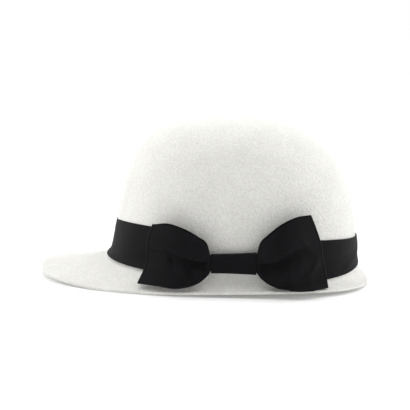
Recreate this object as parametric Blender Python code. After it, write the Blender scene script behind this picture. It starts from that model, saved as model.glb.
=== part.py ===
"""A wool-felt jockey cap with a ribbon band and a flat bow on the wearer's left side.

The felt is one piece, blocked into a round crown and a brim that is a broad peak at the front
and a narrow rim at the sides and back. A ribbon band covers the crease between crown and brim.
Its end laps over it towards the back, and it is drawn together behind a wide bow.

Metres, +Z up. The peak points along -Y, the bow is on +X, and the brim stands on Z = 0.
Lengths along Y are measured from the middle of the crown, and heights from the brim at the
cap's side, with the band and the bow level. The brim hangs lower at the back, so a cap that
stands by itself leans forward a little from there. The holder gives the whole cap that lean,
and puts the origin under the middle of the brim, between the peak's tip and the back edge.
A turn is an angle round the cap: 0 at the front, a quarter turn at the bow, a half at the back.
"""

import math

import bpy
from mathutils import Matrix, Vector

MM = 0.001

# Felt body
FELT = 2.2 * MM
CROWN_HEIGHT = 128.8 * MM
APEX_Y = -10 * MM
CROWN_SQUARENESS = 2.2
EGG = 0.03
FILLET_UP_WALL = 5 * MM
FILLET_ALONG_BRIM = 5.5 * MM

# Height of the crease between crown and brim, by the turn in degrees
CREASE_HEIGHT = {
    0: 14.3 * MM,
    45: 12.3 * MM,
    90: 7.6 * MM,
    118: 5 * MM,
    140: 5.6 * MM,
    180: 9 * MM,
}

# How far the crown reaches from its apex, how much more it flares at the crease and how fast
# that flare ends, how much the wall leans in by the top, and how square its shoulder is
CROWN_PROFILE = {
    "front": {"reach": 84.7 * MM, "flare": 7.6 * MM, "sharp": 5, "lean": 0.002, "shoulder": 3.0},
    "back": {"reach": 112.0 * MM, "flare": 1.7 * MM, "sharp": 9, "lean": 0.01, "shoulder": 2.85},
    "side": {"reach": 86.0 * MM, "flare": 2.2 * MM, "sharp": 9, "lean": 0.04, "shoulder": 2.8},
}

# Brim
PEAK_TIP = 159 * MM
BRIM_BACK = 111.5 * MM
BRIM_HALF_WIDTH = 99.5 * MM
BRIM_WIDEST_Y = 10 * MM
PEAK_SQUARENESS = 2.4
BRIM_BACK_SQUARENESS = 2.6
BRIM_LIP = 2.5 * MM
BRIM_SAG = 1.5

# How the cap stands: its lean in degrees, how far its side is off the ground, and how far the
# brim's edge is off the ground, by the turn in degrees. It touches beside the peak and at the
# back, and the peak is arched.
STAND_LEAN = 1.1
STAND_HEIGHT = 2.7 * MM
EDGE_RISE = {
    0: 5.7 * MM,
    24: 3.6 * MM,
    38: 1.7 * MM,
    51: 0 * MM,
    61: 0 * MM,
    90: 2.9 * MM,
    118: 3.7 * MM,
    141: 2.3 * MM,
    157: 1.1 * MM,
    168: 0 * MM,
    180: 0 * MM,
}

# Ribbon
RIBBON = 1.0 * MM
CLEARANCE = 0.3 * MM
BAND_FOOT = 0.9 * MM
BAND_TOP = {
    0: 45.3 * MM,
    23: 47.3 * MM,
    48: 47.4 * MM,
    90: 43 * MM,
    135: 36.5 * MM,
    180: 32 * MM,
}
LAP_START_STEP = 20
LAP_FOOT_TURN = 140
LAP_HEAD_TURN = 190
LAP_TIP = 0.92

# Bow
KNOT_FRONT_Y = -18.5 * MM
KNOT_BACK_Y = 16.5 * MM
KNOT_MIDDLE_Z = 22.8 * MM
KNOT_FRONT_HEIGHT = 15 * MM
KNOT_BACK_HEIGHT = 17.5 * MM
KNOT_CORNER = 2.2 * MM
LOOP_INSERT = 8 * MM
LOOP_OFF_KNOT = 0.95 * MM
LOOP_SEAT = 2.4 * MM
PINCH_FULL_Y = 24 * MM
PINCH_START_Y = 60 * MM
FOLD_RADIUS = 1.1 * MM

# Heights of each loop's head and foot edges, a share of the way along it from the knot
LOOP_EDGES = {
    "bow_loop_front": {
        0.06: {"head": 38 * MM, "foot": 12.8 * MM},
        0.2: {"head": 42.6 * MM, "foot": 7.6 * MM},
        0.45: {"head": 48.5 * MM, "foot": 4.6 * MM},
        0.75: {"head": 52.5 * MM, "foot": 5.6 * MM},
        1.0: {"head": 51.5 * MM, "foot": 6.3 * MM},
    },
    "bow_loop_back": {
        0.06: {"head": 38.6 * MM, "foot": 11.6 * MM},
        0.2: {"head": 44.2 * MM, "foot": 6.8 * MM},
        0.45: {"head": 52.2 * MM, "foot": 3.8 * MM},
        0.75: {"head": 57.8 * MM, "foot": 2.8 * MM},
        1.0: {"head": 59.2 * MM, "foot": 3 * MM},
    },
}

# How far each loop's outer fold stands out from the line between its corners, a share of the
# way up that line from the foot
FOLD_LINE = {
    "bow_loop_front": {
        0.0: 0 * MM,
        0.22: -2.2 * MM,
        0.36: -2.3 * MM,
        0.56: -0.5 * MM,
        0.78: 1 * MM,
        1.0: 0 * MM,
    },
    "bow_loop_back": {
        0.0: 0 * MM,
        0.2: 1.2 * MM,
        0.38: 1.6 * MM,
        0.6: 2.6 * MM,
        0.84: 1.4 * MM,
        1.0: 0 * MM,
    },
}

# Each loop: how far along the cap its outer fold's corners are, how far the loop puffs out,
# and the crease that runs out of the knot, placed across the ribbon from -1 at its foot to 1
# at its head
LOOPS = {
    "bow_loop_front": {
        "side": -1,
        "head_y": 62.5 * MM,
        "foot_y": 74.2 * MM,
        "puff": 10.5 * MM,
        "crease_depth": 6.0 * MM,
        "crease_at_knot": 0.0,
        "crease_at_end": 0.15,
        "seat": 0.0 * MM,
    },
    "bow_loop_back": {
        "side": 1,
        "head_y": 57.5 * MM,
        "foot_y": 71.2 * MM,
        "puff": 10.8 * MM,
        "crease_depth": 6.5 * MM,
        "crease_at_knot": -0.1,
        "crease_at_end": 0.15,
        "seat": RIBBON + 2 * CLEARANCE,
    },
}

# Mesh density
TURN_STEPS = 64
CROWN_RINGS = 15
FILLET_RINGS = 3
BRIM_RINGS = 4
BAND_ROWS = (0.0, 0.05, 0.12, 0.3, 0.65, 1.0)
LAP_STEPS = 13
LOOP_STEPS = 12
LOOP_ROWS = 13
LOOP_STEP_GROWTH = 1.4

FELT_COLOUR = (0.86, 0.855, 0.83)
RIBBON_COLOUR = (0.012, 0.012, 0.014)


def mix(low, high, share):
    return low + (high - low) * share


def smooth(share):
    share = min(max(share, 0.0), 1.0)
    return share * share * (3 - 2 * share)


def bell(distance):
    return math.exp(-distance * distance)


def through(stations, place):
    """A smooth curve through the values that a table gives at increasing places."""
    keys = list(stations)
    i = max(k for k in range(len(keys) - 1) if keys[k] <= place or k == 0)
    before, after = max(i - 1, 0), min(i + 2, len(keys) - 1)
    low, high = stations[keys[i]], stations[keys[i + 1]]
    width = keys[i + 1] - keys[i]
    leave = (high - stations[keys[before]]) / (keys[i + 1] - keys[before]) * width
    arrive = (stations[keys[after]] - low) / (keys[after] - keys[i]) * width
    share = min(max((place - keys[i]) / width, 0), 1)
    rest = 1 - share
    start = rest * rest * ((1 + 2 * share) * low + share * leave)
    end = share * share * ((1 + 2 * rest) * high - rest * arrive)
    return start + end


def round_the_cap(stations, turn):
    """A height from a table that gives it from the front to the back, alike on both sides."""
    degrees = math.degrees(turn) % 360
    degrees = min(degrees, 360 - degrees)
    mirrored = {-key: value for key, value in reversed(stations.items()) if 0 < key < 90}
    beyond = {360 - key: value for key, value in reversed(stations.items()) if 90 < key < 180}
    return through({**mirrored, **stations, **beyond}, degrees)


def oval(turn, squareness):
    """The forward and sideways shares of a rounded oval at a turn."""
    ahead = math.cos(turn)
    aside = math.sin(turn)
    size = (abs(ahead) ** squareness + abs(aside) ** squareness) ** (-1 / squareness)
    return size * ahead, size * aside


def crown_reach(direction, rise):
    """How far the crown reaches from its apex in one direction, at a share of its height."""
    row = CROWN_PROFILE[direction]
    dome = (1 - rise ** row["shoulder"]) ** (1 / row["shoulder"])
    flare = row["flare"] * (1 - rise) ** row["sharp"]
    return row["reach"] * (1 - row["lean"] * rise) * dome + flare


def crown_point(turn, rise):
    """A point of the felt's outer face, from the crease at rise 0 to the apex at rise 1."""
    front = crown_reach("front", rise)
    back = crown_reach("back", rise)
    side = crown_reach("side", rise)
    ahead, aside = oval(turn, CROWN_SQUARENESS)
    middle = APEX_Y + (back - front) / 2
    foot = round_the_cap(CREASE_HEIGHT, turn)
    return Vector((
        side * aside * (1 - EGG * ahead),
        middle - (back + front) / 2 * ahead,
        foot + (CROWN_HEIGHT - foot) * rise,
    ))


def stand():
    """The turn about X that the cap leans by where it stands."""
    return Matrix.Rotation(math.radians(STAND_LEAN), 3, "X")


def ground_up():
    """The way up from the ground, as the leaning cap has it."""
    return stand().transposed() @ Vector((0, 0, 1))


def brim_edge(turn):
    """A point of the brim's outer edge, on its upper face."""
    front = math.cos(turn) > 0
    ahead, aside = oval(turn, PEAK_SQUARENESS if front else BRIM_BACK_SQUARENESS)
    length = PEAK_TIP + BRIM_WIDEST_Y if front else BRIM_BACK - BRIM_WIDEST_Y
    height = FELT + max(round_the_cap(EDGE_RISE, turn), 0)
    on_ground = Vector((BRIM_HALF_WIDTH * aside, BRIM_WIDEST_Y - length * ahead, 0))
    return stand().transposed() @ (on_ground + Vector((0, 0, height - STAND_HEIGHT)))


def brim_point(turn, share):
    """A point of the brim's upper face, from the crease to where its flat lip starts, and out
    along that lip to the edge for a share above 1."""
    crease = crown_point(turn, 0)
    edge = brim_edge(turn)
    up = ground_up()
    across = (edge - crease) - up * (edge - crease).dot(up)
    lip_start = edge - across.normalized() * BRIM_LIP
    if share > 1:
        return lip_start.lerp(edge, share - 1)
    point = crease.lerp(lip_start, share)
    point.z = lip_start.z + (crease.z - lip_start.z) * (1 - share) ** BRIM_SAG
    return point


def felt_section(turn):
    """The felt's outer face at one turn, from near the apex down and out to the brim's edge."""
    foot = crown_point(turn, 0)
    wall_rise = FILLET_UP_WALL / (CROWN_HEIGHT - foot.z)
    brim_length = (brim_edge(turn) - foot).length
    brim_share = min(FILLET_ALONG_BRIM / brim_length, 0.5)
    section = []
    for ring in range(1, CROWN_RINGS + 1):
        rise = 1 - (1 - wall_rise) * (ring / CROWN_RINGS) ** 2
        section.append(crown_point(turn, rise))
    above = section[-1]
    below = brim_point(turn, brim_share)
    for ring in range(1, FILLET_RINGS + 1):
        share = ring / (FILLET_RINGS + 1)
        section.append(above.lerp(foot, share).lerp(foot.lerp(below, share), share))
    for ring in range(BRIM_RINGS):
        section.append(brim_point(turn, mix(brim_share, 1, ring / (BRIM_RINGS - 1))))
    section.append(brim_point(turn, 2))
    return section


def grid_normals(grid, closed):
    """Unit normals of a grid of points. A closed grid's rows run all the way round."""
    normals = []
    for i, row in enumerate(grid):
        up = grid[max(i - 1, 0)]
        down = grid[min(i + 1, len(grid) - 1)]
        line = []
        for j in range(len(row)):
            if closed:
                left, right = row[j - 1], row[(j + 1) % len(row)]
            else:
                left, right = row[max(j - 1, 0)], row[min(j + 1, len(row) - 1)]
            line.append((down[j] - up[j]).cross(right - left).normalized())
        normals.append(line)
    return normals


def shifted(grid, normals, distance):
    return [
        [point + normal * distance for point, normal in zip(row, line)]
        for row, line in zip(grid, normals)
    ]


def grid_faces(first, rows, columns, closed):
    """Quads between neighbouring rows of points whose numbers start at first."""
    faces = []
    for i in range(rows - 1):
        for j in range(columns if closed else columns - 1):
            a = first + i * columns + j
            b = first + i * columns + (j + 1) % columns
            faces.append((a, a + columns, b + columns, b))
    return faces


def border(rows, columns):
    """The numbers of an open grid's outer points, in order round it."""
    last = rows - 1
    top = list(range(columns - 1))
    right = [i * columns + columns - 1 for i in range(last)]
    bottom = [last * columns + j for j in range(columns - 1, 0, -1)]
    left = [i * columns for i in range(last, 0, -1)]
    return top + right + bottom + left


def sheet_body(outer, inner, closed):
    """Points and faces of a thin body between two like grids of points."""
    rows, columns = len(outer), len(outer[0])
    count = rows * columns
    points = [p for row in outer for p in row] + [p for row in inner for p in row]
    faces = grid_faces(0, rows, columns, closed)
    faces += [face[::-1] for face in grid_faces(count, rows, columns, closed)]
    if closed:
        for j in range(columns):
            k = (j + 1) % columns
            foot = count - columns
            faces.append((k, k + count, j + count, j))
            faces.append((foot + j, foot + j + count, foot + k + count, foot + k))
    else:
        loop = border(rows, columns)
        for a, b in zip(loop, loop[1:] + loop[:1]):
            faces.append((a, b, b + count, a + count))
    return points, faces


def make_material(name, colour, roughness):
    material = bpy.data.materials.new(name)
    material.use_nodes = True
    shader = material.node_tree.nodes["Principled BSDF"]
    shader.inputs["Base Color"].default_value = (*colour, 1)
    shader.inputs["Roughness"].default_value = roughness
    shader.inputs["Metallic"].default_value = 0
    material.diffuse_color = (*colour, 1)
    return material


def make_object(name, points, faces, material, holder):
    mesh = bpy.data.meshes.new(name)
    mesh.from_pydata(points, [], faces)
    mesh.validate()
    mesh.shade_smooth()
    mesh.set_sharp_from_angle(angle=math.radians(50))
    mesh.materials.append(material)
    piece = bpy.data.objects.new(name, mesh)
    piece.parent = holder
    bpy.context.scene.collection.objects.link(piece)
    return piece


def felt_grid():
    """The felt's outer face as rings of points, from near the apex to the brim's edge."""
    turns = [2 * math.pi * j / TURN_STEPS for j in range(TURN_STEPS)]
    sections = [felt_section(turn) for turn in turns]
    return [list(ring) for ring in zip(*sections)]


def make_felt_body(felt, holder):
    """Crown and brim in one piece of felt, hollow inside, with its lip flat on the ground."""
    outer = felt_grid()
    inner = shifted(outer, grid_normals(outer, True), -FELT)
    lip_rows = (len(inner) - 2, len(inner) - 1)
    for i in lip_rows:
        inner[i] = [point - ground_up() * FELT for point in outer[i]]
    points, faces = sheet_body(outer, inner, True)
    count = len(points) // 2
    apex = Vector((0, APEX_Y, CROWN_HEIGHT))
    top = len(points)
    points += [apex, apex - Vector((0, 0, FELT))]
    rim = {tuple(sorted((j, (j + 1) % TURN_STEPS, j + count, (j + 1) % TURN_STEPS + count)))
           for j in range(TURN_STEPS)}
    faces = [face for face in faces if tuple(sorted(face)) not in rim]
    for j in range(TURN_STEPS):
        k = (j + 1) % TURN_STEPS
        faces.append((top, j, k))
        faces.append((top + 1, k + count, j + count))
    return make_object("felt_body", points, faces, felt, holder)


def knot_height(y):
    share = (y - KNOT_FRONT_Y) / (KNOT_BACK_Y - KNOT_FRONT_Y)
    return mix(KNOT_FRONT_HEIGHT, KNOT_BACK_HEIGHT, min(max(share, 0), 1))


def gather_height(y):
    """How tall the ribbon is where it is gathered inside the knot."""
    return knot_height(y) - 2 * RIBBON - 6 * CLEARANCE


def pinch(y):
    """How far the band is drawn together behind the bow: 1 at the knot, 0 beyond the loops."""
    return 1 - smooth((abs(y) - PINCH_FULL_Y) / (PINCH_START_Y - PINCH_FULL_Y))


def band_limits(turn):
    """Heights of the band's foot and head at a turn."""
    foot = round_the_cap(CREASE_HEIGHT, turn) + BAND_FOOT
    head = round_the_cap(BAND_TOP, turn)
    if math.sin(turn) > 0:
        y = crown_point(turn, 0.2).y
        drawn = pinch(y)
        half = gather_height(y) / 2
        foot = mix(foot, KNOT_MIDDLE_Z - half, drawn)
        head = mix(head, KNOT_MIDDLE_Z + half, drawn)
    return foot, head


def at_height(section, height):
    """The place on one section of the felt's outer face at a height: ring number and share."""
    for i in range(len(section) - 1):
        if section[i + 1].z <= height:
            return i, (section[i].z - height) / (section[i].z - section[i + 1].z)
    return len(section) - 2, 1.0


def section_with_normals(turn):
    step = math.pi / TURN_STEPS
    grid = list(zip(*[felt_section(turn + k * step) for k in (-1, 0, 1)]))
    normals = grid_normals([list(row) for row in grid], False)
    return [row[1] for row in grid], [line[1] for line in normals]


def on_felt(turn, height, proud):
    """A point that stands proud of the felt's outer face at a height."""
    section, normals = section_with_normals(turn)
    i, share = at_height(section, height)
    point = section[i].lerp(section[i + 1], share)
    normal = normals[i].lerp(normals[i + 1], share).normalized()
    return point + normal * proud


def make_ribbon_band(ribbon, holder):
    turns = [2 * math.pi * j / TURN_STEPS for j in range(TURN_STEPS)]
    outer, inner = [], []
    for share in reversed(BAND_ROWS):
        heights = [mix(*band_limits(turn), share) for turn in turns]
        places = list(zip(turns, heights))
        outer.append([on_felt(turn, height, CLEARANCE + RIBBON) for turn, height in places])
        inner.append([on_felt(turn, height, CLEARANCE) for turn, height in places])
    points, faces = sheet_body(outer, inner, True)
    return make_object("ribbon_band", points, faces, ribbon, holder)


def make_ribbon_lap(ribbon, holder):
    """The band's end, lapped over the band round the back and cut off slantwise. Its columns
    are at the band's own turns, so that the two keep an even gap."""
    low = 2.6 * CLEARANCE + RIBBON
    columns = [LAP_START_STEP + k for k in range(LAP_STEPS + 1)]
    outer, inner = [], []
    for row in reversed(BAND_ROWS):
        out_row, in_row = [], []
        for column in columns:
            degrees = 360 * column / TURN_STEPS
            cut = (degrees - LAP_FOOT_TURN) / (LAP_HEAD_TURN - LAP_FOOT_TURN)
            share = mix(min(max(cut, 0), LAP_TIP), 1, row)
            turn = math.radians(degrees)
            height = mix(*band_limits(turn), share)
            out_row.append(on_felt(turn, height, low + RIBBON))
            in_row.append(on_felt(turn, height, low))
        outer.append(out_row)
        inner.append(in_row)
    points, faces = sheet_body(outer, inner, False)
    return make_object("ribbon_lap", points, faces, ribbon, holder)


def felt_side_x(y, height):
    """How far out the felt reaches on the bow's side, at a distance along the cap."""
    low, high = math.radians(20), math.radians(160)
    for _ in range(18):
        middle = (low + high) / 2
        section = felt_section(middle)
        i, share = at_height(section, height)
        if section[i].lerp(section[i + 1], share).y < y:
            low = middle
        else:
            high = middle
    section = felt_section((low + high) / 2)
    i, share = at_height(section, height)
    return section[i].lerp(section[i + 1], share).x


def knot_back_x():
    foot = KNOT_MIDDLE_Z - gather_height(0) / 2
    widest = max(felt_side_x(y, foot) for y in (KNOT_FRONT_Y, 0, KNOT_BACK_Y))
    return widest + RIBBON + 2 * CLEARANCE


def layer_gap():
    """From the middle of the back layer to the middle of the front layer inside the knot."""
    return RIBBON + 2 * CLEARANCE


def knot_end(loop):
    return KNOT_FRONT_Y if loop["side"] < 0 else KNOT_BACK_Y


def loop_edges(name, along):
    """The head and foot of a loop, each as (y, z), a share along it from the knot."""
    loop = LOOPS[name]
    end = knot_end(loop)
    half = gather_height(end) / 2
    gathered = {"head": KNOT_MIDDLE_Z + half, "foot": KNOT_MIDDLE_Z - half}
    edges = []
    for edge in ("head", "foot"):
        stations = {0: gathered[edge]}
        for place, row in LOOP_EDGES[name].items():
            stations[place] = row[edge]
        start = end + loop["side"] * LOOP_OFF_KNOT
        y = mix(start, loop["side"] * loop[edge + "_y"], along)
        edges.append((y, through(stations, along)))
    return edges


def loop_crease(loop, along, across):
    """How deep the ribbon folds in at a place: one long crease out of the knot."""
    line = mix(loop["crease_at_knot"], loop["crease_at_end"], along)
    gate = smooth(along / 0.18) * (1 - smooth((along - 0.3) / 0.75))
    below = across < line
    width = 0.42 if below else 0.16
    return loop["crease_depth"] * gate * bell((across - line) / width)


def loop_puff(loop, along, across):
    """How far the front layer stands off the back layer."""
    swell = math.sin(math.pi * min(along, 1) ** 0.75)
    round_off = 0.62 + 0.38 * (1 - abs(across) ** 2.4)
    return loop["puff"] * max(swell, 0) * round_off


def loop_point(name, along, across, front):
    """A point of the middle of the ribbon. Along runs from the knot to the outer fold."""
    loop = LOOPS[name]
    out = max(along, 0)
    (head_y, head), (foot_y, foot) = loop_edges(name, out)
    share = (across + 1) / 2
    y = mix(foot_y, head_y, share)
    y += loop["side"] * through(FOLD_LINE[name], share) * out ** 3
    z = mix(foot, head, share)
    if along < 0:
        y = knot_end(loop) + loop["side"] * along * LOOP_INSERT
    in_knot = knot_back_x() + RIBBON + CLEARANCE + RIBBON / 2
    seat = felt_side_x(y, z) + LOOP_SEAT + loop["seat"]
    x = mix(in_knot, max(seat, (seat + in_knot) / 2), smooth(out / 0.3))
    if front:
        x += mix(layer_gap(), 2 * FOLD_RADIUS, out)
        x += loop_puff(loop, out, across) - loop_crease(loop, out, across)
    return Vector((x, y, z))


def loop_row(name, across):
    """One line of the ribbon: out along the front layer, round the fold, back to the knot."""
    shares = [-1, -0.1]
    shares += [(k / LOOP_STEPS) ** LOOP_STEP_GROWTH for k in range(LOOP_STEPS + 1)]
    front = [loop_point(name, along, across, True) for along in shares]
    back = [loop_point(name, along, across, False) for along in reversed(shares)]
    middle = (front[-1] + back[0]) / 2
    out = Vector((0, LOOPS[name]["side"], 0))
    turn_round = []
    for angle in (45, 90, 135):
        swing = math.radians(angle)
        spoke = (front[-1] - middle) * math.cos(swing) + out * FOLD_RADIUS * math.sin(swing)
        turn_round.append(middle + spoke)
    return front + turn_round + back


def make_bow_loop(name, ribbon, holder):
    rows = [mix(1, -1, k / LOOP_ROWS) for k in range(LOOP_ROWS + 1)]
    grid = [loop_row(name, across) for across in rows]
    if LOOPS[name]["side"] < 0:
        grid = [row[::-1] for row in grid]
    normals = grid_normals(grid, False)
    outer = shifted(grid, normals, RIBBON / 2)
    inner = shifted(grid, normals, -RIBBON / 2)
    points, faces = sheet_body(outer, inner, False)
    return make_object(name, points, faces, ribbon, holder)


def knot_outline(height, inset):
    """Outline of the knot's sleeve with its corners rounded, as (x, z) from its back."""
    depth = 4 * RIBBON + 5 * CLEARANCE
    corner = KNOT_CORNER - inset
    top = height / 2 - KNOT_CORNER
    right = depth - KNOT_CORNER
    centres = ((right, top), (KNOT_CORNER, top), (KNOT_CORNER, -top), (right, -top))
    outline = []
    for quarter, (x, z) in enumerate(centres):
        for k in range(5):
            angle = math.radians(90 * quarter + 22.5 * k)
            outline.append((x + corner * math.cos(angle), z + corner * math.sin(angle)))
    return outline


def make_bow_knot(ribbon, holder):
    """A short wide sleeve of ribbon round the gathered loops."""
    back = knot_back_x()
    grids = []
    for inset in (0, RIBBON):
        rows = []
        for y in (KNOT_FRONT_Y, 0, KNOT_BACK_Y):
            rows.append([
                Vector((back + x, y, KNOT_MIDDLE_Z + z))
                for x, z in knot_outline(knot_height(y), inset)
            ])
        grids.append(rows)
    points, faces = sheet_body(grids[0], grids[1], True)
    return make_object("bow_knot", points, faces, ribbon, holder)


def main():
    for old in list(bpy.data.objects):
        bpy.data.objects.remove(old)
    holder = bpy.data.objects.new("jockey_cap", None)
    holder.location = (0, (PEAK_TIP - BRIM_BACK) / 2, STAND_HEIGHT)
    holder.rotation_euler.x = math.radians(STAND_LEAN)
    bpy.context.scene.collection.objects.link(holder)
    felt = make_material("felt", FELT_COLOUR, 0.95)
    ribbon = make_material("ribbon", RIBBON_COLOUR, 0.7)
    make_felt_body(felt, holder)
    make_ribbon_band(ribbon, holder)
    make_ribbon_lap(ribbon, holder)
    for name in LOOPS:
        make_bow_loop(name, ribbon, holder)
    make_bow_knot(ribbon, holder)


main()
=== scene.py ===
"""Looks of the wool-felt jockey cap: white felt, a grosgrain ribbon band and a soft flat bow.

Each piece repeats the sizes of its CAD solid, in metres, and replaces it with a finer shape.
As in the part's source, lengths along Y are measured from the middle of the crown, and heights
from the brim at the cap's side, with the band and the bow level. Every mesh is then put where
the cap stands, which leans it forward a little. A turn is an angle round the cap: 0 at the
front, a quarter turn at the bow, a half at the back.
"""

import bisect
import math

import bpy
from mathutils import Matrix, Vector, noise


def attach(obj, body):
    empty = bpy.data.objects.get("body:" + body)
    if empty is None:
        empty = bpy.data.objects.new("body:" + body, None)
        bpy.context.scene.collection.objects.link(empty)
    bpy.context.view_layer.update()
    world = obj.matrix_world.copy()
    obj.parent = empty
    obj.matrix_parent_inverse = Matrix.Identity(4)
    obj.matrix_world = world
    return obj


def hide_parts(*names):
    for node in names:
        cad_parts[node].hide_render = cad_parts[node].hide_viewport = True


MM = 0.001

# Felt body
FELT = 2.2 * MM
CROWN_HEIGHT = 128.8 * MM
APEX_Y = -10 * MM
CROWN_SQUARENESS = 2.2
EGG = 0.03
FILLET_UP_WALL = 5 * MM
FILLET_ALONG_BRIM = 5.5 * MM

# Height of the crease between crown and brim, by the turn in degrees
CREASE_HEIGHT = {
    0: 14.3 * MM,
    45: 12.3 * MM,
    90: 7.6 * MM,
    118: 5 * MM,
    140: 5.6 * MM,
    180: 9 * MM,
}

# The crown's outline in three directions: how far out its foot reaches, how much the foot
# flares and how quickly that ends, how far the wall leans in, and how square the shoulder is
CROWN_PROFILE = {
    "front": {"reach": 84.7 * MM, "flare": 7.6 * MM, "sharp": 5, "lean": 0.002, "shoulder": 3.0},
    "back": {"reach": 112.0 * MM, "flare": 1.7 * MM, "sharp": 9, "lean": 0.01, "shoulder": 2.85},
    "side": {"reach": 86.0 * MM, "flare": 2.2 * MM, "sharp": 9, "lean": 0.04, "shoulder": 2.8},
}

# Brim
PEAK_TIP = 159 * MM
BRIM_BACK = 111.5 * MM
BRIM_HALF_WIDTH = 99.5 * MM
BRIM_WIDEST_Y = 10 * MM
PEAK_SQUARENESS = 2.4
BRIM_BACK_SQUARENESS = 2.6
BRIM_LIP = 2.5 * MM
BRIM_SAG = 1.5
EDGE_SQUARENESS = 2.8

# How the cap stands: its lean in degrees, how far its side is off the ground, and how far the
# brim's edge is off the ground, by the turn in degrees
STAND_LEAN = 1.1
STAND_HEIGHT = 2.7 * MM
EDGE_RISE = {
    0: 5.7 * MM,
    24: 3.6 * MM,
    38: 1.7 * MM,
    51: 0 * MM,
    61: 0 * MM,
    90: 2.9 * MM,
    118: 3.7 * MM,
    141: 2.3 * MM,
    157: 1.1 * MM,
    168: 0 * MM,
    180: 0 * MM,
}

# Hand-blocked unevenness of the felt: how deep, and how many waves to the metre
UNEVEN = ((0.22 * MM, 24), (0.08 * MM, 70))
CORE = Vector((0, 0, 30 * MM))

# Ribbon
RIBBON = 1.0 * MM
RIBBON_SEEN = 0.6 * MM
CLEARANCE = 0.3 * MM
BAND_FOOT = 0.9 * MM
BAND_TOP = {
    0: 45.3 * MM,
    23: 47.3 * MM,
    48: 47.4 * MM,
    90: 43 * MM,
    135: 36.5 * MM,
    180: 32 * MM,
}
BAND_WIDTH = 36 * MM
LAP_START_TURN = 112.5
LAP_END_TURN = 185.6
LAP_FOOT_TURN = 140
LAP_HEAD_TURN = 190
LAP_TIP = 0.92
LAP_GAP = 0.1 * MM

# How much of its clearance the band loses towards its head, how far its foot stands off in
# front, how unevenly it lies, and how far the lap's slanted edge lifts, over what width
HEAD_HUG = 0.8
FOOT_KICK = 1.3 * MM
BAND_EASE = 0.1 * MM
LAP_LIFT = 0.7 * MM
LAP_LIFT_WIDTH = 4 * MM

# Bow
KNOT_FRONT_Y = -18.5 * MM
KNOT_BACK_Y = 16.5 * MM
KNOT_MIDDLE_Z = 22.8 * MM
KNOT_FRONT_HEIGHT = 15 * MM
KNOT_BACK_HEIGHT = 17.5 * MM
KNOT_CORNER = 2.2 * MM
LOOP_INSERT = 8 * MM
LOOP_OFF_KNOT = 0.3 * MM
LOOP_SEAT = 2.4 * MM
LOOP_WIDTH = 48 * MM
LOOP_LENGTH = 54 * MM
PINCH_FULL_Y = 24 * MM
PINCH_START_Y = 60 * MM
FOLD_RADIUS = 1.1 * MM
KNOT_BULGE = 1.3 * MM
KNOT_WAIST = 0.5 * MM
KNOT_DIP = 0.35 * MM
KNOT_WRINKLE = 0.28 * MM

# Heights of each loop's head and foot edges, a share of the way along it from the knot
LOOP_EDGES = {
    "bow_loop_front": {
        0.06: {"head": 38 * MM, "foot": 12.8 * MM},
        0.2: {"head": 42.6 * MM, "foot": 7.6 * MM},
        0.45: {"head": 48.5 * MM, "foot": 4.6 * MM},
        0.75: {"head": 52.5 * MM, "foot": 5.6 * MM},
        1.0: {"head": 51.5 * MM, "foot": 6.3 * MM},
    },
    "bow_loop_back": {
        0.06: {"head": 38.6 * MM, "foot": 11.6 * MM},
        0.2: {"head": 44.2 * MM, "foot": 6.8 * MM},
        0.45: {"head": 52.2 * MM, "foot": 3.8 * MM},
        0.75: {"head": 57.8 * MM, "foot": 2.8 * MM},
        1.0: {"head": 59.2 * MM, "foot": 3 * MM},
    },
}

# How far each loop's outer fold stands out from the line between its corners, a share of the
# way up that line from the foot
FOLD_LINE = {
    "bow_loop_front": {
        0.0: 0 * MM,
        0.22: -2.2 * MM,
        0.36: -2.3 * MM,
        0.56: -0.5 * MM,
        0.78: 1 * MM,
        1.0: 0 * MM,
    },
    "bow_loop_back": {
        0.0: 0 * MM,
        0.2: 1.2 * MM,
        0.38: 1.6 * MM,
        0.6: 2.6 * MM,
        0.84: 1.4 * MM,
        1.0: 0 * MM,
    },
}

LOOPS = {
    "bow_loop_front": {
        "side": -1,
        "head_y": 62.5 * MM,
        "foot_y": 74.2 * MM,
        "puff": 10.5 * MM,
        "seat": 0.0 * MM,
    },
    "bow_loop_back": {
        "side": 1,
        "head_y": 57.5 * MM,
        "foot_y": 71.2 * MM,
        "puff": 10.8 * MM,
        "seat": RIBBON + 2 * CLEARANCE,
    },
}

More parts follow.
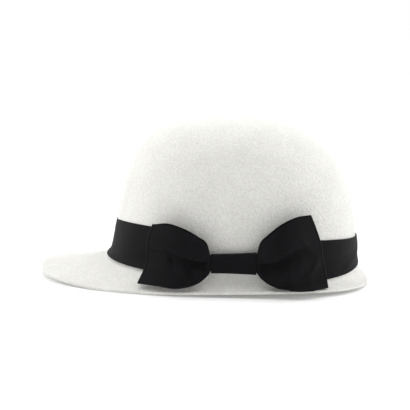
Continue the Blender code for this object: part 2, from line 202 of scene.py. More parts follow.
# Folds in each loop's front layer. A path's points are a share of the way along the loop from
# the knot, a place across it from -1 at its foot to 1 at its head, and how deep the ribbon
# folds in there. Above and below are how far the fold spreads on its two sides.
LOOP_FOLDS = {
    "bow_loop_front": (
        {
            "above": 1.5 * MM,
            "below": 8.5 * MM,
            "path": (
                (0, 0.15, 4.5 * MM),
                (0.25, 0, 6 * MM),
                (0.37, 0.03, 5.2 * MM),
                (0.54, 0.11, 3 * MM),
                (0.67, 0.13, 1.8 * MM),
                (0.83, 0.09, 1.3 * MM),
                (0.95, 0.06, 0.6 * MM),
            ),
        },
        {
            "above": 2.4 * MM,
            "below": 2.4 * MM,
            "path": ((0.6, 0.13, 0.2 * MM), (0.59, -0.1, 1.5 * MM), (0.57, -0.35, 0.5 * MM)),
        },
        {
            "above": 2.2 * MM,
            "below": 2.2 * MM,
            "path": ((0.37, -0.17, 0.8 * MM), (0.32, -0.4, 1.8 * MM), (0.26, -0.66, 0.8 * MM)),
        },
        {
            "above": 2.2 * MM,
            "below": 2.2 * MM,
            "path": ((0.09, -0.6, -0.6 * MM), (0.16, -0.47, -1.5 * MM), (0.24, -0.34, -0.6 * MM)),
        },
        {
            "above": 2.2 * MM,
            "below": 2.2 * MM,
            "path": ((0.42, -0.03, -0.6 * MM), (0.42, -0.2, -1.1 * MM), (0.42, -0.38, -0.3 * MM)),
        },
    ),
    "bow_loop_back": (
        {
            "above": 1.5 * MM,
            "below": 8.5 * MM,
            "path": (
                (0.01, -0.17, 4.5 * MM),
                (0.18, -0.13, 6.2 * MM),
                (0.32, -0.07, 6 * MM),
                (0.5, 0.07, 4.6 * MM),
                (0.62, 0.135, 3.4 * MM),
                (0.74, 0.115, 2.2 * MM),
                (0.86, -0.14, 0.4 * MM),
            ),
        },
        {
            "above": 2.6 * MM,
            "below": 2.6 * MM,
            "path": ((0.98, -0.06, -0.5 * MM), (0.86, -0.44, -1.7 * MM), (0.73, -0.67, -0.5 * MM)),
        },
        {
            "above": 2.2 * MM,
            "below": 2.2 * MM,
            "path": ((0.49, -0.3, -0.2 * MM), (0.49, -0.6, -0.9 * MM), (0.49, -0.95, -0.5 * MM)),
        },
        {
            "above": 2 * MM,
            "below": 2 * MM,
            "path": ((0.78, -0.58, -0.2 * MM), (0.78, -0.75, -0.7 * MM), (0.78, -0.9, -0.4 * MM)),
        },
        {
            "above": 1.8 * MM,
            "below": 1.8 * MM,
            "path": ((0.72, 0.45, -0.2 * MM), (0.78, 0.3, -0.9 * MM), (0.84, 0.165, -0.3 * MM)),
        },
        {
            "above": 1.8 * MM,
            "below": 1.8 * MM,
            "path": ((0, 0.3, 0.8 * MM), (0.05, 0.45, 1.5 * MM), (0.14, 0.6, 0.3 * MM)),
        },
    ),
}

# Mesh density
TURN_STEPS = 240
CROWN_RINGS = 64
FILLET_RINGS = 6
BRIM_RINGS = 18
EDGE_STEPS = 8
BAND_ROWS = (0.0, 0.015, 0.05, 0.1, 0.2, 0.3, 0.4, 0.5, 0.6, 0.7, 0.8, 0.9, 0.95, 0.985, 1.0)
LAP_STEPS = 90
LOOP_STEPS = 56
LOOP_ROWS = 84
LOOP_STEP_GROWTH = 1.25
FOLD_STEPS = 8
KNOT_STEPS = 40
KNOT_CORNER_STEPS = 8
KNOT_SIDE_STEPS = 14
SIDE_LEVELS = 34
LEVEL_STEP = 2 * MM

# Camera: the photograph's frame is 410 pixels wide, at 1.2 pixels to the millimetre. The band is
# level in it, so the camera is given here in the lengths and heights of the cap.
VIEW_HEIGHT = 8
VIEW_DISTANCE = 1.1
VIEW_TARGET = Vector((0, -23 * MM, 55.5 * MM))
VIEW_WIDTH = 410 / 1.2 * MM
SENSOR = 36

# Where the cap stands, with the origin under the middle of its brim
LEAN = Matrix.Rotation(math.radians(STAND_LEAN), 3, "X")
GROUND_UP = LEAN.transposed() @ Vector((0, 0, 1))
STAND = Matrix.Translation((0, (PEAK_TIP - BRIM_BACK) / 2, STAND_HEIGHT)) @ LEAN.to_4x4()

# Weave of the ribbon
RIB_PITCH = 0.75 * MM
THREAD_PITCH = 0.4 * MM

# Studio: the floor, how much it glows, how bright the surroundings are away from and towards
# the dim side of the room, and which way that side is
FLOOR_HALF = 5
FLOOR_DROP = 0.2 * MM
FLOOR_GLOW = 0.13
BRIGHT_ROOM = 1.16
DIM_ROOM = 0.22
ROOM_SIDE = (1, 0, 0)


def mix(low, high, share):
    return low + (high - low) * share


def smooth(share):
    share = min(max(share, 0.0), 1.0)
    return share * share * (3 - 2 * share)


def bell(distance):
    return math.exp(-distance * distance)


def through(stations, place):
    """A smooth curve through the values that a table gives at increasing places."""
    keys = list(stations)
    i = max(k for k in range(len(keys) - 1) if keys[k] <= place or k == 0)
    before, after = max(i - 1, 0), min(i + 2, len(keys) - 1)
    low, high = stations[keys[i]], stations[keys[i + 1]]
    width = keys[i + 1] - keys[i]
    leave = (high - stations[keys[before]]) / (keys[i + 1] - keys[before]) * width
    arrive = (stations[keys[after]] - low) / (keys[after] - keys[i]) * width
    share = min(max((place - keys[i]) / width, 0), 1)
    rest = 1 - share
    start = rest * rest * ((1 + 2 * share) * low + share * leave)
    end = share * share * ((1 + 2 * rest) * high - rest * arrive)
    return start + end


def round_the_cap(stations, turn):
    """A height from a table that gives it from the front to the back, alike on both sides."""
    degrees = math.degrees(turn) % 360
    degrees = min(degrees, 360 - degrees)
    mirrored = {-key: value for key, value in reversed(stations.items()) if 0 < key < 90}
    beyond = {360 - key: value for key, value in reversed(stations.items()) if 90 < key < 180}
    return through({**mirrored, **stations, **beyond}, degrees)


# The felt's surface


def oval(turn, squareness):
    """The forward and sideways shares of a rounded oval at a turn."""
    ahead = math.cos(turn)
    aside = math.sin(turn)
    size = (abs(ahead) ** squareness + abs(aside) ** squareness) ** (-1 / squareness)
    return size * ahead, size * aside


def crown_reach(direction, rise):
    row = CROWN_PROFILE[direction]
    dome = (1 - rise ** row["shoulder"]) ** (1 / row["shoulder"])
    flare = row["flare"] * (1 - rise) ** row["sharp"]
    return row["reach"] * (1 - row["lean"] * rise) * dome + flare


def crown_point(turn, rise, foot):
    front = crown_reach("front", rise)
    back = crown_reach("back", rise)
    side = crown_reach("side", rise)
    ahead, aside = oval(turn, CROWN_SQUARENESS)
    middle = APEX_Y + (back - front) / 2
    return Vector((
        side * aside * (1 - EGG * ahead),
        middle - (back + front) / 2 * ahead,
        foot + (CROWN_HEIGHT - foot) * rise,
    ))


def brim_edge(turn):
    front = math.cos(turn) > 0
    ahead, aside = oval(turn, PEAK_SQUARENESS if front else BRIM_BACK_SQUARENESS)
    length = PEAK_TIP + BRIM_WIDEST_Y if front else BRIM_BACK - BRIM_WIDEST_Y
    height = FELT + max(round_the_cap(EDGE_RISE, turn), 0)
    on_ground = Vector((BRIM_HALF_WIDTH * aside, BRIM_WIDEST_Y - length * ahead, 0))
    return LEAN.transposed() @ (on_ground + Vector((0, 0, height - STAND_HEIGHT)))


def uneven(point):
    """The felt as it comes off the block by hand: a soft unevenness that fades at the brim."""
    out = (point - CORE).normalized()
    wave = sum(depth * noise.noise(point * waves) for depth, waves in UNEVEN)
    return point + out * wave * smooth((point.z - 3 * MM) / (14 * MM))


def felt_section(turn):
    """The felt's outer face at one turn, from near the apex down and out to the brim's edge."""
    crease_height = round_the_cap(CREASE_HEIGHT, turn)
    crease = crown_point(turn, 0, crease_height)
    edge = brim_edge(turn)
    across = (edge - crease) - GROUND_UP * (edge - crease).dot(GROUND_UP)
    lip_start = edge - across.normalized() * BRIM_LIP

    def brim_point(share):
        point = crease.lerp(lip_start, share)
        point.z = lip_start.z + (crease.z - lip_start.z) * (1 - share) ** BRIM_SAG
        return point

    wall_rise = FILLET_UP_WALL / (CROWN_HEIGHT - crease.z)
    brim_share = min(FILLET_ALONG_BRIM / (edge - crease).length, 0.5)
    section = []
    for ring in range(1, CROWN_RINGS + 1):
        rise = 1 - (1 - wall_rise) * (ring / CROWN_RINGS) ** 2
        section.append(crown_point(turn, rise, crease_height))
    above = section[-1]
    below = brim_point(brim_share)
    for ring in range(1, FILLET_RINGS + 1):
        share = ring / (FILLET_RINGS + 1)
        section.append(above.lerp(crease, share).lerp(crease.lerp(below, share), share))
    for ring in range(BRIM_RINGS):
        section.append(brim_point(mix(brim_share, 1, ring / (BRIM_RINGS - 1))))
    section.append(edge)
    return [uneven(point) for point in section]


def grid_normals(grid, closed):
    """Unit normals of a grid of points. A closed grid's rows run all the way round."""
    normals = []
    for i, row in enumerate(grid):
        up = grid[max(i - 1, 0)]
        down = grid[min(i + 1, len(grid) - 1)]
        line = []
        for j in range(len(row)):
            if closed:
                left, right = row[j - 1], row[(j + 1) % len(row)]
            else:
                left, right = row[max(j - 1, 0)], row[min(j + 1, len(row) - 1)]
            line.append((down[j] - up[j]).cross(right - left).normalized())
        normals.append(line)
    return normals


def shifted(grid, normals, distance):
    return [
        [point + normal * distance for point, normal in zip(row, line)]
        for row, line in zip(grid, normals)
    ]


def at_height(section, height):
    """The place on one section of the felt at a height: ring number and share."""
    for i in range(len(section) - 1):
        if section[i + 1].z <= height:
            return i, (section[i].z - height) / (section[i].z - section[i + 1].z)
    return len(section) - 2, 1.0


def wall(turn):
    """The felt's outer face at one turn, as a function of the height and the distance off it."""
    step = math.pi / TURN_STEPS
    grid = list(zip(*[felt_section(turn + k * step) for k in (-1, 0, 1)]))
    normals = grid_normals([list(row) for row in grid], False)

    def place(height, proud):
        section = [row[1] for row in grid]
        i, share = at_height(section, height)
        normal = normals[i][1].lerp(normals[i + 1][1], share).normalized()
        return section[i].lerp(section[i + 1], share) + normal * proud

    return place


def side_levels():
    """The felt's outline on the bow's side, a list of (y, x) for each level a step apart."""
    sections = [felt_section(math.radians(degrees)) for degrees in range(16, 165)]
    levels = []
    for level in range(SIDE_LEVELS):
        height = level * LEVEL_STEP
        line = []
        for section in sections:
            i, share = at_height(section, height)
            point = section[i].lerp(section[i + 1], share)
            line.append((point.y, point.x))
        levels.append(line)
    return levels


def felt_side_x(levels, y, height):
    """How far out the felt reaches on the bow's side, at a distance along the cap."""
    place = min(max(height / LEVEL_STEP, 0), SIDE_LEVELS - 1.001)
    reaches = []
    for line in (levels[int(place)], levels[int(place) + 1]):
        j = min(max(bisect.bisect(line, (y, 0)), 1), len(line) - 1)
        (low_y, low_x), (high_y, high_x) = line[j - 1], line[j]
        reaches.append(mix(low_x, high_x, (y - low_y) / (high_y - low_y)))
    return mix(reaches[0], reaches[1], place % 1)


# Meshes


def grid_corners(rows, columns, closed):
    """The corners (row, column) of each quad of a grid. A closed grid's last column is past
    its end, where the first one comes round again."""
    for i in range(rows - 1):
        for j in range(columns if closed else columns - 1):
            yield (i, j), (i + 1, j), (i + 1, j + 1), (i, j + 1)


def make_piece(name, points, faces, uvs, material):
    """A closed mesh that stands for the CAD node of the same name."""
    mesh = bpy.data.meshes.new(name + "_look")
    mesh.from_pydata([STAND @ point for point in points], [], faces)
    layer = mesh.uv_layers.new(name="UVMap")
    layer.data.foreach_set("uv", [value for face in uvs for corner in face for value in corner])
    mesh.shade_smooth()
    mesh.set_sharp_from_angle(angle=math.radians(60))
    mesh.materials.append(material)
    piece = bpy.data.objects.new(name + "_look", mesh)
    bpy.context.scene.collection.objects.link(piece)
    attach(piece, "root")
    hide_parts(name)
    return piece


def sheet_piece(name, outer, inner, along, across, closed, material):
    """A thin cloth between two like grids of points. Along gives each column's distance along
    the cloth and across each row's place over its width, for the weave."""
    rows, columns = len(outer), len(outer[0])
    count = rows * columns
    points = [p for row in outer for p in row] + [p for row in inner for p in row]
    faces, uvs = [], []

    def add(*corners):
        faces.append([side * count + i * columns + j % columns for side, i, j in corners])
        uvs.append([(along[j], across[i]) for _, i, j in corners])

    for a, b, c, d in grid_corners(rows, columns, closed):
        add((0, *a), (0, *b), (0, *c), (0, *d))
        add((1, *d), (1, *c), (1, *b), (1, *a))
    for j in range(columns if closed else columns - 1):
        add((0, 0, j + 1), (1, 0, j + 1), (1, 0, j), (0, 0, j))
        last = rows - 1
        add((0, last, j), (1, last, j), (1, last, j + 1), (0, last, j + 1))
    if not closed:
        last = columns - 1
        for i in range(rows - 1):
            add((0, i, 0), (1, i, 0), (1, i + 1, 0), (0, i + 1, 0))
            add((0, i + 1, last), (1, i + 1, last), (1, i, last), (0, i, last))
    return make_piece(name, points, faces, uvs, material)


def distances(points):
    """How far along a line of points each one is."""
    total, result = 0, [0]
    for before, after in zip(points, points[1:]):
        total += (after - before).length
        result.append(total)
    return result


def make_felt(material):
    """Crown and brim in one felt, hollow inside, with a soft cut edge that is flat below."""
    turns = [2 * math.pi * j / TURN_STEPS for j in range(TURN_STEPS)]
    outer = [list(ring) for ring in zip(*[felt_section(turn) for turn in turns])]
    inner = shifted(outer, grid_normals(outer, True), -FELT)
    inner[-2] = [point - GROUND_UP * FELT for point in outer[-2]]
    rounded = []
    for k in range(1, EDGE_STEPS):
        angle = math.pi * (0.5 - k / EDGE_STEPS)
        ahead = math.cos(angle) ** (2 / EDGE_SQUARENESS)
        up = math.copysign(abs(math.sin(angle)) ** (2 / EDGE_SQUARENESS), math.sin(angle))
        ring = []
        for start, edge in zip(outer[-2], outer[-1]):
            across = (edge - start).normalized()
            ring.append(edge + (across * (ahead - 1) + GROUND_UP * (up - 1)) * FELT / 2)
        rounded.append(ring)
    rings = outer[:-1] + rounded + inner[-2::-1]
    points = [point for ring in rings for point in ring]
    faces, uvs = [], []
    for corners in grid_corners(len(rings), TURN_STEPS, True):
        faces.append([i * TURN_STEPS + j % TURN_STEPS for i, j in corners])
        uvs.append([(j / TURN_STEPS, i / len(rings)) for i, j in corners])
    apex = Vector((0, APEX_Y, CROWN_HEIGHT))
    top = len(points)
    points += [apex, apex - Vector((0, 0, FELT))]
    last = (len(rings) - 1) * TURN_STEPS
    for j in range(TURN_STEPS):
        k = (j + 1) % TURN_STEPS
        faces.append([top, j, k])
        faces.append([top + 1, last + k, last + j])
        uvs += [[(j / TURN_STEPS, 0)] * 3, [(j / TURN_STEPS, 1)] * 3]
    return make_piece("felt_body", points, faces, uvs, material)


# Ribbon


def knot_height(y):
    share = (y - KNOT_FRONT_Y) / (KNOT_BACK_Y - KNOT_FRONT_Y)
    return mix(KNOT_FRONT_HEIGHT, KNOT_BACK_HEIGHT, min(max(share, 0), 1))


def gather_height(y):
    return knot_height(y) - 2 * RIBBON - 6 * CLEARANCE


def pinch(y):
    """How far the band is drawn together behind the bow: 1 at the knot, 0 beyond the loops."""
    return 1 - smooth((abs(y) - PINCH_FULL_Y) / (PINCH_START_Y - PINCH_FULL_Y))


def band_limits(turn):
    """Heights of the band's foot and head at a turn."""
    crease_height = round_the_cap(CREASE_HEIGHT, turn)
    foot = crease_height + BAND_FOOT
    head = round_the_cap(BAND_TOP, turn)
    if math.sin(turn) > 0:
        y = crown_point(turn, 0.2, crease_height).y
        drawn = pinch(y)
        half = gather_height(y) / 2
        foot = mix(foot, KNOT_MIDDLE_Z - half, drawn)
        head = mix(head, KNOT_MIDDLE_Z + half, drawn)
    return foot, head


def edge_thin(share):
    """A woven edge is thinner than the ribbon's middle."""
    return 1 - 0.45 * bell(min(share, 1 - share) / 0.012)


def band_ease(turn, share):
    """How loosely the band lies at a place."""
    return BAND_EASE * noise.noise(Vector((math.cos(turn), math.sin(turn), share)) * 7)


def band_off(turn, share):
    """How far the band's back is off the felt: less at its head, and more at the foot in front,
    where the ribbon lies on the curve of the crease."""
    loose = 1 - HEAD_HUG * smooth((share - 0.8) / 0.12)
    kick = FOOT_KICK * smooth(1 - share / 0.16) * smooth(math.cos(turn) * 1.3)
    return (CLEARANCE + band_ease(turn, share)) * loose + kick


def make_band(material):
    turns = [2 * math.pi * j / TURN_STEPS for j in range(TURN_STEPS)]
    walls = [wall(turn) for turn in turns]
    outer, inner = [], []
    for share in reversed(BAND_ROWS):
        out_row, in_row = [], []
        for turn, place in zip(turns, walls):
            height = mix(*band_limits(turn), share)
            low = band_off(turn, share)
            out_row.append(place(height, low + RIBBON_SEEN * edge_thin(share)))
            in_row.append(place(height, low))
        outer.append(out_row)
        inner.append(in_row)
    middle = outer[len(outer) // 2]
    along = distances(middle + middle[:1])
    across = [(share - 0.5) * BAND_WIDTH for share in reversed(BAND_ROWS)]
    return sheet_piece("ribbon_band", outer, inner, along, across, True, material)


def make_lap(material):
    """The band's end, lapped over the band towards the back, with its slanted edge lifted."""
    columns = [k / LAP_STEPS for k in range(LAP_STEPS + 1)]
    outer = [[] for _ in BAND_ROWS]
    inner = [[] for _ in BAND_ROWS]
    for column in columns:
        degrees = mix(LAP_START_TURN, LAP_END_TURN, column)
        cut = (degrees - LAP_FOOT_TURN) / (LAP_HEAD_TURN - LAP_FOOT_TURN)
        turn = math.radians(degrees)
        place = wall(turn)
        foot, head = band_limits(turn)
        for i, row in enumerate(reversed(BAND_ROWS)):
            share = mix(min(max(cut, 0), LAP_TIP), 1, row)
            height = mix(foot, head, share)
            low = band_off(turn, share) + RIBBON_SEEN * edge_thin(share) + LAP_GAP
            up_from_cut = (height - mix(foot, head, max(cut, 0))) / LAP_LIFT_WIDTH
            low += LAP_LIFT * smooth(cut * 6) * smooth((0.62 - cut) * 5) * bell(up_from_cut)
            outer[i].append(place(height, low + RIBBON_SEEN * edge_thin(row)))
            inner[i].append(place(height, low))
    along = distances(outer[0])
    across = [(row - 0.5) * BAND_WIDTH for row in reversed(BAND_ROWS)]
    return sheet_piece("ribbon_lap", outer, inner, along, across, False, material)


def knot_back_x(levels):
    foot = KNOT_MIDDLE_Z - gather_height(0) / 2
    widest = max(felt_side_x(levels, y, foot) for y in (KNOT_FRONT_Y, 0, KNOT_BACK_Y))
    return widest + RIBBON + 2 * CLEARANCE


def knot_end(loop):
    return KNOT_FRONT_Y if loop["side"] < 0 else KNOT_BACK_Y


def loop_outline(name, along, across):
    """Where a place of a loop is in the bow's plane, as (y, z)."""
    loop = LOOPS[name]
    end = knot_end(loop)
    half = gather_height(end) / 2
    start = end + loop["side"] * LOOP_OFF_KNOT
    stations = LOOP_EDGES[name]
    head = {0: KNOT_MIDDLE_Z + half, **{place: row["head"] for place, row in stations.items()}}
    foot = {0: KNOT_MIDDLE_Z - half, **{place: row["foot"] for place, row in stations.items()}}
    share = (across + 1) / 2
    out = max(along, 0)
    foot_y = mix(start, loop["side"] * loop["foot_y"], out)
    head_y = mix(start, loop["side"] * loop["head_y"], out)
    y = mix(foot_y, head_y, share)
    y += loop["side"] * through(FOLD_LINE[name], share) * out ** 3
    if along < 0:
        y = end + loop["side"] * along * LOOP_INSERT
    return y, mix(through(foot, out), through(head, out), share)


def fold_lines(name):
    """A loop's folds as lines of (y, z, depth) in the bow's plane."""
    lines = []
    for fold in LOOP_FOLDS[name]:
        line = [(*loop_outline(name, along, across), depth) for along, across, depth in fold["path"]]
        lines.append((line, fold["above"], fold["below"]))
    return lines


def folded_in(lines, y, z):
    """How deep the ribbon folds in at a place of the bow's plane."""
    total = 0
    for line, above, below in lines:
        nearest = None
        for (y0, z0, depth0), (y1, z1, depth1) in zip(line, line[1:]):
            run_y, run_z = y1 - y0, z1 - z0
            share = ((y - y0) * run_y + (z - z0) * run_z) / (run_y ** 2 + run_z ** 2)
            share = min(max(share, 0), 1)
            off_y, off_z = y - mix(y0, y1, share), z - mix(z0, z1, share)
            away = math.hypot(off_y, off_z)
            if nearest is None or away < nearest[0]:
                nearest = (away, mix(depth0, depth1, share), off_z)
        away, depth, off_z = nearest
        total += depth * bell(away / (above if off_z > 0 else below))
    return total


def loop_puff(loop, along, across):
    """How far the front layer stands off the back layer."""
    swell = math.sin(math.pi * min(along, 1) ** 0.75)
    round_off = 0.62 + 0.38 * (1 - abs(across) ** 2.4)
    return loop["puff"] * max(swell, 0) * round_off


def make_loop(name, levels, material):
    loop = LOOPS[name]
    lines = fold_lines(name)
    in_knot = knot_back_x(levels) + RIBBON + CLEARANCE + RIBBON / 2
    layer_gap = RIBBON + 2 * CLEARANCE

    def place(along, across, front):
        out = max(along, 0)
        y, z = loop_outline(name, along, across)
        seat = felt_side_x(levels, y, z) + LOOP_SEAT + loop["seat"]
        x = mix(in_knot, max(seat, (seat + in_knot) / 2), smooth(out / 0.3))
        if front:
            fold = folded_in(lines, y, z) * smooth(out / 0.12)
            stand = mix(layer_gap, 2 * FOLD_RADIUS, out) + loop_puff(loop, out, across) - fold
            x += max(stand, layer_gap) + KNOT_BULGE * bell(along / 0.06)
        return Vector((x, y, z))

    shares = [-1, -0.5, -0.1]
    shares += [(k / LOOP_STEPS) ** LOOP_STEP_GROWTH for k in range(LOOP_STEPS + 1)]
    grid = []
    across = [mix(1, -1, k / LOOP_ROWS) for k in range(LOOP_ROWS + 1)]
    for row in across:
        front = [place(along, row, True) for along in shares]
        back = [place(along, row, False) for along in reversed(shares)]
        middle = (front[-1] + back[0]) / 2
        out = Vector((0, loop["side"], 0))
        turned = []
        for k in range(1, FOLD_STEPS):
            swing = math.pi * k / FOLD_STEPS
            spoke = (front[-1] - middle) * math.cos(swing) + out * FOLD_RADIUS * math.sin(swing)
            turned.append(middle + spoke)
        grid.append(front + turned + back)
    round_fold = FOLD_RADIUS * math.pi
    along = [share * LOOP_LENGTH for share in shares]
    along += [LOOP_LENGTH + round_fold * k / FOLD_STEPS for k in range(1, FOLD_STEPS)]
    along += [round_fold + (2 - share) * LOOP_LENGTH for share in reversed(shares)]
    if loop["side"] < 0:
        grid = [row[::-1] for row in grid]
        along = along[::-1]
    normals = grid_normals(grid, False)
    outer = shifted(grid, normals, RIBBON_SEEN / 2)
    inner = shifted(grid, normals, -RIBBON_SEEN / 2)
    places = [row * LOOP_WIDTH / 2 for row in across]
    return sheet_piece(name, outer, inner, along, places, False, material)


def make_knot(levels, material):
    """A short wide sleeve of ribbon round the gathered loops, drawn in a little at its waist."""
    back = knot_back_x(levels)
    depth = 4 * RIBBON + 5 * CLEARANCE
    shares = [step / KNOT_STEPS for step in range(KNOT_STEPS + 1)]
    grids = []
    for inset in (0, RIBBON_SEEN):
        rows = []
        for share in shares:
            y = mix(KNOT_FRONT_Y, KNOT_BACK_Y, share)
            waist = 1 - (2 * share - 1) ** 2
            height = knot_height(y) - KNOT_WAIST * waist
            corner = KNOT_CORNER - inset
            top = height / 2 - KNOT_CORNER
            right = depth - KNOT_CORNER
            outline = []
            centres = ((right, top), (KNOT_CORNER, top), (KNOT_CORNER, -top), (right, -top))
            for quarter, (x, z) in enumerate(centres):
                for k in range(KNOT_CORNER_STEPS + 1):
                    angle = math.radians(90 * (quarter + k / KNOT_CORNER_STEPS))
                    outline.append((x + corner * math.cos(angle), z + corner * math.sin(angle)))
                if quarter in (1, 3):
                    low, high = outline[-1], (outline[-1][0], -outline[-1][1])
                    for k in range(1, KNOT_SIDE_STEPS):
                        outline.append((low[0], mix(low[1], high[1], k / KNOT_SIDE_STEPS)))
            row = []
            for x, z in outline:
                if x > depth / 2:
                    wrinkle = noise.noise(Vector((3, y * 30, z * 260)))
                    x += KNOT_WRINKLE * wrinkle - KNOT_DIP * waist
                row.append(Vector((back + x, y, KNOT_MIDDLE_Z + z)))
            rows.append(row)
        grids.append(rows)
    # The ribbon goes round the bow, so its length runs along the rows
    middle = grids[0][KNOT_STEPS // 2]
    along = distances(middle + middle[:1])
    across = [mix(KNOT_FRONT_Y, KNOT_BACK_Y, share) for share in shares]
    return sheet_piece("bow_knot", grids[0], grids[1], along, across, True, material)


# Materials


def new_material(name, colour, roughness):
    material = bpy.data.materials.new(name)
    material.use_nodes = True
    shader = material.node_tree.nodes["Principled BSDF"]
    shader.inputs["Base Color"].default_value = (*colour, 1)
    shader.inputs["Roughness"].default_value = roughness
    material.diffuse_color = (*colour, 1)
    return material, shader


class Nodes:
    """Short ways to add nodes to a material and link them."""

    def __init__(self, material):
        self.tree = material.node_tree

    def add(self, kind, sockets=(), **settings):
        node = self.tree.nodes.new(kind)
        for key, value in settings.items():
            setattr(node, key, value)
        for socket, value in dict(sockets).items():
            if isinstance(value, bpy.types.NodeSocket):
                self.tree.links.new(value, node.inputs[socket])
            else:
                node.inputs[socket].default_value = value
        return node

    def noise(self, where, scale, detail, roughness=0.5):
        sockets = {"Vector": where, "Scale": scale, "Detail": detail, "Roughness": roughness}
        return self.add("ShaderNodeTexNoise", sockets).outputs["Fac"]

    def math(self, operation, *values):
        sockets = dict(enumerate(values))
        return self.add("ShaderNodeMath", sockets, operation=operation).outputs[0]

    def blend(self, share, low, high):
        """A colour between two, by a share."""
        ramp = self.add("ShaderNodeMix", {"Factor": share}, data_type="RGBA")
        colours = [socket for socket in ramp.inputs if socket.type == "RGBA"]
        colours[0].default_value = (*low, 1)
        colours[1].default_value = (*high, 1)
        return next(socket for socket in ramp.outputs if socket.type == "RGBA")

    def bump(self, height, depth, strength, normal=None):
        sockets = {"Height": height, "Distance": depth, "Strength": strength}
        if normal is not None:
            sockets["Normal"] = normal
        return self.add("ShaderNodeBump", sockets).outputs["Normal"]


def felt_material():
    """Pressed white wool: matted fibres, a soft nap and slight mottling."""
    material, shader = new_material("white_wool_felt", (0.86, 0.855, 0.83), 0.95)
    nodes = Nodes(material)
    where = nodes.add("ShaderNodeTexCoord").outputs["Object"]
    mottle = nodes.noise(where, 620, 3, 0.6)
    fibres = nodes.noise(where, 1500, 4, 0.65)
    patches = nodes.noise(where, 45, 2)
    fine, broad = nodes.math("MULTIPLY", mottle, 0.75), nodes.math("MULTIPLY", patches, 0.25)
    tone = nodes.math("ADD", fine, broad)
    spread = nodes.add("ShaderNodeMapRange", {"Value": tone, "From Min": 0.36, "From Max": 0.64})
    colour = nodes.blend(spread.outputs[0], (0.765, 0.757, 0.715), (0.915, 0.91, 0.872))
    nodes.tree.links.new(colour, shader.inputs["Base Color"])
    nap = nodes.bump(mottle, 1.2 * MM, 0.7)
    nodes.tree.links.new(nodes.bump(fibres, 0.35 * MM, 0.5, nap), shader.inputs["Normal"])
    shader.inputs["Specular IOR Level"].default_value = 0.15
    shader.inputs["Sheen Weight"].default_value = 0.35
    shader.inputs["Sheen Roughness"].default_value = 0.6
    return material


def ribbon_material():
    """Black grosgrain: fine ribs straight across the ribbon, woven from dull thread."""
    material, shader = new_material("black_grosgrain", (0.0075, 0.0075, 0.0085), 0.6)
    nodes = Nodes(material)
    uv = nodes.add("ShaderNodeUVMap", uv_map="UVMap").outputs["UV"]
    parts = nodes.add("ShaderNodeSeparateXYZ", {"Vector": uv}).outputs
    rib_wave = nodes.math("SINE", nodes.math("MULTIPLY", parts["X"], 2 * math.pi / RIB_PITCH))
    thread_wave = nodes.math("SINE", nodes.math("MULTIPLY", parts["Y"], 2 * math.pi / THREAD_PITCH))
    where = nodes.add("ShaderNodeTexCoord").outputs["Object"]
    lint = nodes.noise(where, 900, 3, 0.6)
    patches = nodes.noise(where, 60, 2)
    colour = nodes.blend(patches, (0.005, 0.005, 0.0058), (0.0095, 0.0095, 0.011))
    nodes.tree.links.new(colour, shader.inputs["Base Color"])
    weave = nodes.math("ADD", rib_wave, nodes.math("MULTIPLY", thread_wave, 0.25))
    ribs = nodes.bump(weave, 0.06 * MM, 0.6)
    nodes.tree.links.new(nodes.bump(lint, 0.15 * MM, 0.4, ribs), shader.inputs["Normal"])
    rough = nodes.add("ShaderNodeMapRange", {"Value": lint, "To Min": 0.5, "To Max": 0.72})
    nodes.tree.links.new(rough.outputs[0], shader.inputs["Roughness"])
    shader.inputs["Specular IOR Level"].default_value = 0.06
    shader.inputs["Sheen Weight"].default_value = 0.018
    shader.inputs["Sheen Roughness"].default_value = 0.4
    return material


def floor_material():
    """A pale floor that glows a little, as a light table does, so that it shows white."""
    material, shader = new_material("pale_floor", (0.9, 0.9, 0.9), 0.9)
    nodes = Nodes(material)
    where = nodes.add("ShaderNodeTexCoord").outputs["Object"]
    colour = nodes.blend(nodes.noise(where, 4, 2), (0.89, 0.89, 0.89), (0.91, 0.91, 0.91))
    nodes.tree.links.new(colour, shader.inputs["Base Color"])
    shader.inputs["Specular IOR Level"].default_value = 0.1
    shader.inputs["Emission Color"].default_value = (1, 1, 1, 1)
    shader.inputs["Emission Strength"].default_value = FLOOR_GLOW
    return material


# Studio


def add_light(name, place, aim, size, energy):
    light = bpy.data.lights.new(name, "AREA")
    light.shape = "DISK"
    light.size = size
    light.energy = energy
    lamp = bpy.data.objects.new(name, light)
    lamp.location = place
    lamp.rotation_euler = (Vector(aim) - Vector(place)).to_track_quat("-Z", "Y").to_euler()
    bpy.context.scene.collection.objects.link(lamp)
    return lamp


def make_world():
    """White surroundings that light the cap from above, behind and both ends, with the dimmer
    room on the side that the photograph was taken from. The backdrop itself shows white."""
    world = bpy.data.worlds.new("studio")
    bpy.context.scene.world = world
    world.use_nodes = True
    nodes = Nodes(world)
    toward = nodes.add("ShaderNodeTexCoord").outputs["Generated"]
    room = nodes.add("ShaderNodeVectorMath", {0: toward, 1: ROOM_SIDE}, operation="DOT_PRODUCT")
    sockets = {"Value": room.outputs["Value"], "From Min": 0.15, "From Max": 0.9}
    sockets.update({"To Min": BRIGHT_ROOM, "To Max": DIM_ROOM})
    dim = nodes.add("ShaderNodeMapRange", sockets, interpolation_type="SMOOTHSTEP")
    light = nodes.add("ShaderNodeBackground", {"Color": (1, 1, 1, 1), "Strength": dim.outputs[0]})
    backdrop = nodes.add("ShaderNodeBackground", {"Color": (1, 1, 1, 1), "Strength": 1.0})
    seen = nodes.add("ShaderNodeLightPath").outputs["Is Camera Ray"]
    both = nodes.add("ShaderNodeMixShader", {0: seen, 1: light.outputs[0], 2: backdrop.outputs[0]})
    output = world.node_tree.nodes["World Output"]
    world.node_tree.links.new(both.outputs[0], output.inputs["Surface"])


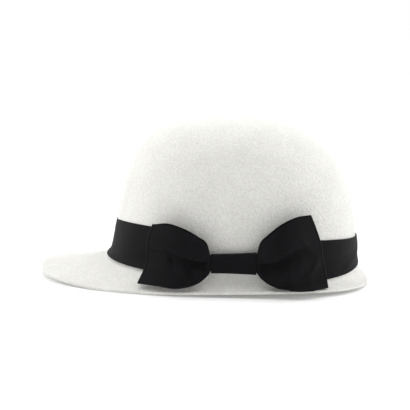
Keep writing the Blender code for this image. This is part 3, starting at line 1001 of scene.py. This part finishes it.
def make_studio():
    mesh = bpy.data.meshes.new("studio_floor")
    sides = ((-1, -1), (1, -1), (1, 1), (-1, 1))
    corners = [(x * FLOOR_HALF, y * FLOOR_HALF, -FLOOR_DROP) for x, y in sides]
    mesh.from_pydata(corners, [], [(0, 1, 2, 3)])
    mesh.materials.append(floor_material())
    floor = bpy.data.objects.new("studio_floor", mesh)
    bpy.context.scene.collection.objects.link(floor)

    make_world()
    add_light("soft_top", (-0.05, 0.0, 1.25), (0, 0.02, 0.06), size=0.9, energy=3)
    add_light("soft_front", (-0.2, -1.15, 0.6), (0, 0, 0.06), size=0.8, energy=3.5)
    add_light("soft_back", (-0.15, 1.25, 0.6), (0, 0, 0.06), size=0.8, energy=3.5)
    bpy.context.scene.view_settings.view_transform = "Standard"


def make_camera():
    camera = bpy.data.cameras.new("photo_view")
    camera.sensor_width = SENSOR
    camera.lens = SENSOR * VIEW_DISTANCE / VIEW_WIDTH
    camera.clip_start = 0.01
    camera.dof.use_dof = False
    holder = bpy.data.objects.new("photo_view", camera)
    tilt = math.radians(VIEW_HEIGHT)
    out = Vector((math.cos(tilt), 0, math.sin(tilt)))
    turn = (-out).to_track_quat("-Z", "Y").to_matrix().to_4x4()
    holder.matrix_world = STAND @ Matrix.Translation(VIEW_TARGET + out * VIEW_DISTANCE) @ turn
    bpy.context.scene.collection.objects.link(holder)
    bpy.context.scene.camera = holder


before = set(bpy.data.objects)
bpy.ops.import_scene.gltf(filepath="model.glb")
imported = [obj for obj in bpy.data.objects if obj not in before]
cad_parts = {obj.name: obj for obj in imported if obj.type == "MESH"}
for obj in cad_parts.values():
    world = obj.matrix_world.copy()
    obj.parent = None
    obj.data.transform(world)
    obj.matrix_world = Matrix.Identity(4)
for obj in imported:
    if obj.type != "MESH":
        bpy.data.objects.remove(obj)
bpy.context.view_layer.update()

make_camera()
make_studio()
felt = felt_material()
ribbon = ribbon_material()
side = side_levels()
make_felt(felt)
band = make_band(ribbon)
lap = make_lap(ribbon)
loops = [make_loop(name, side, ribbon) for name in LOOPS]
knot = make_knot(side, ribbon)
